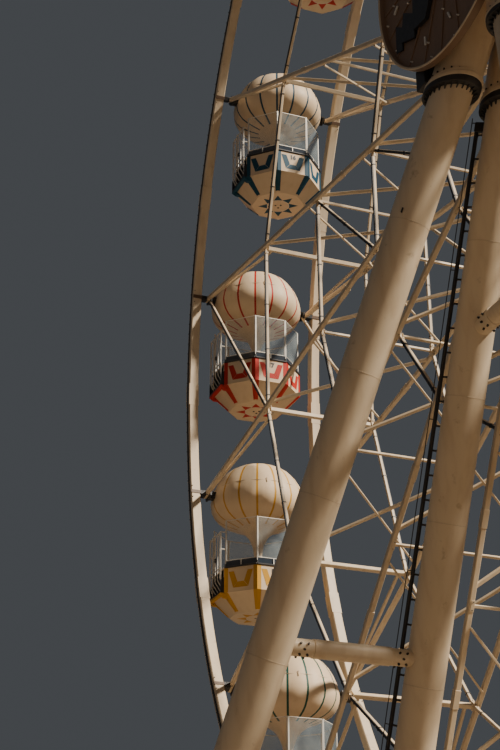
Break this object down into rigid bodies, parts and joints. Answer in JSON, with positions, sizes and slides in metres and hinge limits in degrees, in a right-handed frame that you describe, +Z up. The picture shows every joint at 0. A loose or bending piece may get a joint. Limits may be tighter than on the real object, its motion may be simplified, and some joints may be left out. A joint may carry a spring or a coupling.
{
  "type": "ferris wheel",
  "caption": "Fairground Ferris wheel on splayed tube legs, with double rims, a latticed spoke frame and level-hanging open cabins under balloon canopies.",
  "frame": {"origin": "on the ground, midway between the feet, under the hub", "axes": "+Z up, +Y along the wheel's axle, +X in the wheel's plane"},
  "size_m": [31.2212, 13.3214, 33.3295],
  "materials": {
    "cream_paint": "satin",
    "dark_steel": "satin",
    "cabin_shell": "gloss"
  },
  "bodies": {
    "support": {"a_frame_left": "cream_paint", "a_frame_right": "cream_paint", "outer_leg_left_rear": "cream_paint", "outer_leg_left_front": "cream_paint", "outer_leg_right_rear": "cream_paint", "outer_leg_right_front": "cream_paint", "bearing_left": "cream_paint", "bearing_right": "cream_paint", "ladder_track": "dark_steel"},
    "wheel": {"spoke_01": "cream_paint", "spoke_02": "cream_paint", "spoke_03": "cream_paint", "spoke_04": "cream_paint", "spoke_05": "cream_paint", "spoke_06": "cream_paint", "spoke_07": "cream_paint", "spoke_08": "cream_paint", "spoke_09": "cream_paint", "spoke_10": "cream_paint", "spoke_11": "cream_paint", "spoke_12": "cream_paint", "spoke_13": "cream_paint", "spoke_14": "cream_paint", "spoke_15": "cream_paint", "spoke_16": "cream_paint", "spoke_17": "cream_paint", "spoke_18": "cream_paint", "spoke_19": "cream_paint", "spoke_20": "cream_paint", "rim_left": "cream_paint", "rim_right": "cream_paint", "ring_outer": "cream_paint", "ring_mid": "cream_paint", "ring_inner": "cream_paint", "hub_drum": "cream_paint", "dish_left": "cream_paint", "dish_right": "cream_paint"},
    "cabin_01_body": {"cabin_01": "cabin_shell"},
    "cabin_02_body": {"cabin_02": "cabin_shell"},
    "cabin_03_body": {"cabin_03": "cabin_shell"},
    "cabin_04_body": {"cabin_04": "cabin_shell"},
    "cabin_05_body": {"cabin_05": "cabin_shell"},
    "cabin_06_body": {"cabin_06": "cabin_shell"},
    "cabin_07_body": {"cabin_07": "cabin_shell"},
    "cabin_08_body": {"cabin_08": "cabin_shell"},
    "cabin_09_body": {"cabin_09": "cabin_shell"},
    "cabin_10_body": {"cabin_10": "cabin_shell"},
    "cabin_11_body": {"cabin_11": "cabin_shell"},
    "cabin_12_body": {"cabin_12": "cabin_shell"},
    "cabin_13_body": {"cabin_13": "cabin_shell"},
    "cabin_14_body": {"cabin_14": "cabin_shell"},
    "cabin_15_body": {"cabin_15": "cabin_shell"},
    "cabin_16_body": {"cabin_16": "cabin_shell"},
    "cabin_17_body": {"cabin_17": "cabin_shell"},
    "cabin_18_body": {"cabin_18": "cabin_shell"},
    "cabin_19_body": {"cabin_19": "cabin_shell"},
    "cabin_20_body": {"cabin_20": "cabin_shell"}
  },
  "joints": [
    {"name": "wheel_spin", "type": "hinge", "parent": "support", "child": "wheel", "pos_m": [0, 0, 17.9], "axis": [0, 1, 0], "continuous": true},
    {"name": "cabin_01_hinge", "type": "hinge", "parent": "wheel", "child": "cabin_01_body", "pos_m": [-6.4647, 0, 4.5865], "axis": [0, 1, 0], "continuous": true},
    {"name": "cabin_02_hinge", "type": "hinge", "parent": "wheel", "child": "cabin_02_body", "pos_m": [-2.0342, 0, 3.2405], "axis": [0, 1, 0], "continuous": true},
    {"name": "cabin_03_hinge", "type": "hinge", "parent": "wheel", "child": "cabin_03_body", "pos_m": [2.5954, 0, 3.3294], "axis": [0, 1, 0], "continuous": true},
    {"name": "cabin_04_hinge", "type": "hinge", "parent": "wheel", "child": "cabin_04_body", "pos_m": [6.971, 0, 4.8445], "axis": [0, 1, 0], "continuous": true},
    {"name": "cabin_05_hinge", "type": "hinge", "parent": "wheel", "child": "cabin_05_body", "pos_m": [10.6642, 0, 7.6377], "axis": [0, 1, 0], "continuous": true},
    {"name": "cabin_06_hinge", "type": "hinge", "parent": "wheel", "child": "cabin_06_body", "pos_m": [13.3135, 0, 11.4353], "axis": [0, 1, 0], "continuous": true},
    {"name": "cabin_07_hinge", "type": "hinge", "parent": "wheel", "child": "cabin_07_body", "pos_m": [14.6595, 0, 15.8658], "axis": [0, 1, 0], "continuous": true},
    {"name": "cabin_08_hinge", "type": "hinge", "parent": "wheel", "child": "cabin_08_body", "pos_m": [14.5706, 0, 20.4954], "axis": [0, 1, 0], "continuous": true},
    {"name": "cabin_09_hinge", "type": "hinge", "parent": "wheel", "child": "cabin_09_body", "pos_m": [13.0555, 0, 24.871], "axis": [0, 1, 0], "continuous": true},
    {"name": "cabin_10_hinge", "type": "hinge", "parent": "wheel", "child": "cabin_10_body", "pos_m": [10.2623, 0, 28.5642], "axis": [0, 1, 0], "continuous": true},
    {"name": "cabin_11_hinge", "type": "hinge", "parent": "wheel", "child": "cabin_11_body", "pos_m": [6.4647, 0, 31.2135], "axis": [0, 1, 0], "continuous": true},
    {"name": "cabin_12_hinge", "type": "hinge", "parent": "wheel", "child": "cabin_12_body", "pos_m": [2.0342, 0, 32.5595], "axis": [0, 1, 0], "continuous": true},
    {"name": "cabin_13_hinge", "type": "hinge", "parent": "wheel", "child": "cabin_13_body", "pos_m": [-2.5954, 0, 32.4706], "axis": [0, 1, 0], "continuous": true},
    {"name": "cabin_14_hinge", "type": "hinge", "parent": "wheel", "child": "cabin_14_body", "pos_m": [-6.971, 0, 30.9555], "axis": [0, 1, 0], "continuous": true},
    {"name": "cabin_15_hinge", "type": "hinge", "parent": "wheel", "child": "cabin_15_body", "pos_m": [-10.6642, 0, 28.1623], "axis": [0, 1, 0], "continuous": true},
    {"name": "cabin_16_hinge", "type": "hinge", "parent": "wheel", "child": "cabin_16_body", "pos_m": [-13.3135, 0, 24.3647], "axis": [0, 1, 0], "continuous": true},
    {"name": "cabin_17_hinge", "type": "hinge", "parent": "wheel", "child": "cabin_17_body", "pos_m": [-14.6595, 0, 19.9342], "axis": [0, 1, 0], "continuous": true},
    {"name": "cabin_18_hinge", "type": "hinge", "parent": "wheel", "child": "cabin_18_body", "pos_m": [-14.5706, 0, 15.3046], "axis": [0, 1, 0], "continuous": true},
    {"name": "cabin_19_hinge", "type": "hinge", "parent": "wheel", "child": "cabin_19_body", "pos_m": [-13.0555, 0, 10.929], "axis": [0, 1, 0], "continuous": true},
    {"name": "cabin_20_hinge", "type": "hinge", "parent": "wheel", "child": "cabin_20_body", "pos_m": [-10.2623, 0, 7.2358], "axis": [0, 1, 0], "continuous": true}
  ],
  "couplings": [
    {"joint": "cabin_01_hinge", "follows": "wheel_spin", "ratio": -1},
    {"joint": "cabin_02_hinge", "follows": "wheel_spin", "ratio": -1},
    {"joint": "cabin_03_hinge", "follows": "wheel_spin", "ratio": -1},
    {"joint": "cabin_04_hinge", "follows": "wheel_spin", "ratio": -1},
    {"joint": "cabin_05_hinge", "follows": "wheel_spin", "ratio": -1},
    {"joint": "cabin_06_hinge", "follows": "wheel_spin", "ratio": -1},
    {"joint": "cabin_07_hinge", "follows": "wheel_spin", "ratio": -1},
    {"joint": "cabin_08_hinge", "follows": "wheel_spin", "ratio": -1},
    {"joint": "cabin_09_hinge", "follows": "wheel_spin", "ratio": -1},
    {"joint": "cabin_10_hinge", "follows": "wheel_spin", "ratio": -1},
    {"joint": "cabin_11_hinge", "follows": "wheel_spin", "ratio": -1},
    {"joint": "cabin_12_hinge", "follows": "wheel_spin", "ratio": -1},
    {"joint": "cabin_13_hinge", "follows": "wheel_spin", "ratio": -1},
    {"joint": "cabin_14_hinge", "follows": "wheel_spin", "ratio": -1},
    {"joint": "cabin_15_hinge", "follows": "wheel_spin", "ratio": -1},
    {"joint": "cabin_16_hinge", "follows": "wheel_spin", "ratio": -1},
    {"joint": "cabin_17_hinge", "follows": "wheel_spin", "ratio": -1},
    {"joint": "cabin_18_hinge", "follows": "wheel_spin", "ratio": -1},
    {"joint": "cabin_19_hinge", "follows": "wheel_spin", "ratio": -1},
    {"joint": "cabin_20_hinge", "follows": "wheel_spin", "ratio": -1}
  ]
}
